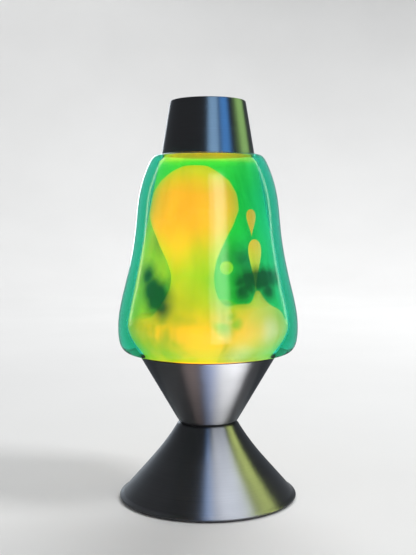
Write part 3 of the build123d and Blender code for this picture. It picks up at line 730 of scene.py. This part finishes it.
clear, ct, cout, cp = glass_like("clear_bulb_glass", ior=1.08, coat=0.8, coat_rough=0.02)
dress("bulb_glass", clear)
dress("bulb_stem", clear)
hot, ht, hout = material("hot_filament")
hp = principled(ht, hout, Base_Color=(1.0, 0.6, 0.25), Roughness=0.5, Emission_Color=(1.0, 0.55, 0.2))
hp.inputs["Emission Strength"].default_value = 18.0
ht.links.new(ramp(ht, noise_tex(ht, coords(ht), 900.0), [(0.3, (0.9, 0.5, 0.2)), (0.7, (1.0, 0.7, 0.3))]), hp.inputs["Base Color"])
dress("bulb_filament", hot)
dress("crown_cap", plain("crown_tinplate", (0.62, 0.60, 0.55), 0.25, 1.0, grain=600, strength=0.1))
dress("crown_liner", plain("crown_liner", (0.75, 0.75, 0.72), 0.6, grain=500))

# ---------------------------------------------------------------- the studio
fm, ft, fout = material("pale_floor")
fp = principled(ft, fout, Roughness=0.62)
fp.inputs["Specular IOR Level"].default_value = 0.15
ft.links.new(ramp(ft, noise_tex(ft, coords(ft), 3.0, 4.0, 0.5), [(0.3, (0.74, 0.74, 0.735)), (0.7, (0.77, 0.77, 0.765))]), fp.inputs["Base Color"])
near_line = [(0, 0), (50, 0), (100, 0), (150, 0)]
far_line = joined([(150, 0), (400, 0), (700, 0), (1100, 0), (1500, 0), (1900, 0)],
                  arc(1900, 1100, 1100, -90, -8, 22), [(2995, 1400), (3000, 1900)])
for name, line in (("studio_floor", near_line), ("studio_sweep", far_line)):
    ob = lathe(name, line, 96, sharp=80)
    ob.data.materials.append(fm)
    if name == "studio_sweep":       # the metal mirrors a dark room beyond the table
        ob.visible_glossy = False


def softbox(name, azimuth, elevation, distance, size, radiance, color=(1, 1, 1), on=None,
            target=(0, 0, 0.16), flat=False, gloss=True):
    """A softbox by its direction from the lamp, in degrees, and its own radiance.

    gloss says whether it is there for reflections or for lighting the room; on lists the pieces it serves.
    """
    d = bpy.data.lights.new(name, "AREA")
    d.shape = "RECTANGLE"
    d.size, d.size_y = size
    d.energy = radiance * math.pi * size[0] * size[1]
    d.color = color
    ob = bpy.data.objects.new(name, d)
    SCENE.collection.objects.link(ob)
    a, e = math.radians(azimuth), math.radians(elevation)
    to = Vector(target)
    ob.location = to + distance * Vector((math.sin(a) * math.cos(e), -math.cos(a) * math.cos(e), math.sin(e)))
    if flat:                        # lies on the table, facing up, its length along its azimuth
        ob.location.z = 0.006
        ob.rotation_euler = (math.pi, 0.0, a)
    else:
        ob.rotation_euler = (to - ob.location).to_track_quat("-Z", "Y").to_euler()
    ob.visible_camera = False
    ob.visible_transmission = False
    ob.visible_diffuse = not gloss
    ob.visible_glossy = gloss
    if on:
        c = bpy.data.collections.new(name + "_on")
        for piece in on:
            c.objects.link(piece)
        ob.light_linking.receiver_collection = c
    return ob


# the glass: one tall window in front, and a thin one on either side from behind
softbox("glass_front", 18, 15, 1.15, (0.30, 1.10), 2.6, (1.0, 1.0, 0.93), [glass])
softbox("glass_front_wide", 16, 14, 1.18, (0.56, 1.30), 2.2, (1.0, 1.0, 0.93), [glass])
softbox("glass_left", -113, 18, 1.30, (0.09, 1.00), 4.5, (1.0, 0.94, 0.60), [glass])
softbox("glass_right", 115, 18, 1.30, (0.09, 1.00), 4.0, (0.85, 1.0, 0.75), [glass])
# the cap
softbox("cap_front", 14, 19, 1.10, (0.50, 1.30), 1.0, (2.8, 5.0, 7.6), [cap])
softbox("cap_blue", 47, 19, 1.10, (0.46, 1.30), 1.0, (0.7, 2.8, 7.0), [cap])
softbox("cap_green", 106, 19, 1.10, (0.62, 1.30), 1.0, (2.5, 4.4, 1.2), [cap])
# the cup, from panels lying on the table
softbox("cup_white", 40, 0, 0.34, (0.20, 0.40), 30.0, (1.0, 1.0, 1.0), [cup], flat=True)
softbox("cup_blue", 9, 0, 0.34, (0.13, 0.40), 17.0, (0.55, 0.66, 1.0), [cup], flat=True)
softbox("cup_rose", -26, 0, 0.34, (0.10, 0.40), 4.5, (1.0, 0.74, 0.68), [cup], flat=True)
# the foot, from overhead
softbox("foot_white", 46, 56, 1.10, (0.84, 0.80), 13.0, (0.92, 0.97, 1.06), [foot], (0, 0, 0.03))
softbox("foot_green", 98, 40, 1.10, (0.27, 0.80), 14.0, (0.85, 1.0, 0.28), [foot], (0, 0, 0.03))
softbox("foot_blue", 1, 56, 1.10, (0.16, 0.80), 9.0, (0.26, 0.50, 1.0), [foot], (0, 0, 0.03))
# the far side of the metal
fittings = [NODES[n] for n in (
    "crown_cap", "waist_eyelet", "plate_lugs", "holder_bracket", "holder_nipple", "wire_coil", "base_plate",
    "plate_screws", "bracket_rivets", "holder_nut", "lampholder_shell", "holder_contact", "terminal_screws",
    "bulb_base", "bulb_glass", "bulb_supports", "bulb_contact", "lampholder_body", "rubber_feet", "cord_grommet")]
softbox("fittings_high", 30, 55, 1.30, (1.0, 1.0), 3.0, (1.0, 0.98, 0.95), fittings)
softbox("fittings_low", -40, -25, 0.90, (0.9, 0.9), 2.0, (0.9, 0.95, 1.0), fittings)
softbox("back_strip", 196, 25, 1.40, (0.22, 1.30), 4.0, (0.9, 0.95, 1.0), [cap, cup, foot, glass])
# light for the room
softbox("room_back", 165, 48, 3.0, (2.6, 1.3), 6.2, target=(0, 0.0, 0), gloss=False)
softbox("room_key", 72, 42, 2.5, (0.7, 0.7), 21.0, gloss=False)

world = bpy.data.worlds.new("studio")
SCENE.world = world
world.use_nodes = True
wn = world.node_tree
for n in list(wn.nodes):
    wn.nodes.remove(n)
wo = wn.nodes.new("ShaderNodeOutputWorld")
sky = wn.nodes.new("ShaderNodeBackground")
sky.inputs["Color"].default_value = (0.86, 0.90, 0.96, 1)
sky.inputs["Strength"].default_value = 0.22
wn.links.new(sky.outputs[0], wo.inputs["Surface"])

SCENE.view_settings.view_transform = "Standard"
SCENE.view_settings.look = "None"
SCENE.view_settings.exposure = 0.0
SCENE.cycles.max_bounces = 24
SCENE.cycles.transmission_bounces = 20
SCENE.cycles.transparent_max_bounces = 16
SCENE.cycles.glossy_bounces = 6
SCENE.cycles.diffuse_bounces = 4
SCENE.cycles.sample_clamp_indirect = 6.0
SCENE.cycles.caustics_reflective = True
SCENE.cycles.caustics_refractive = True
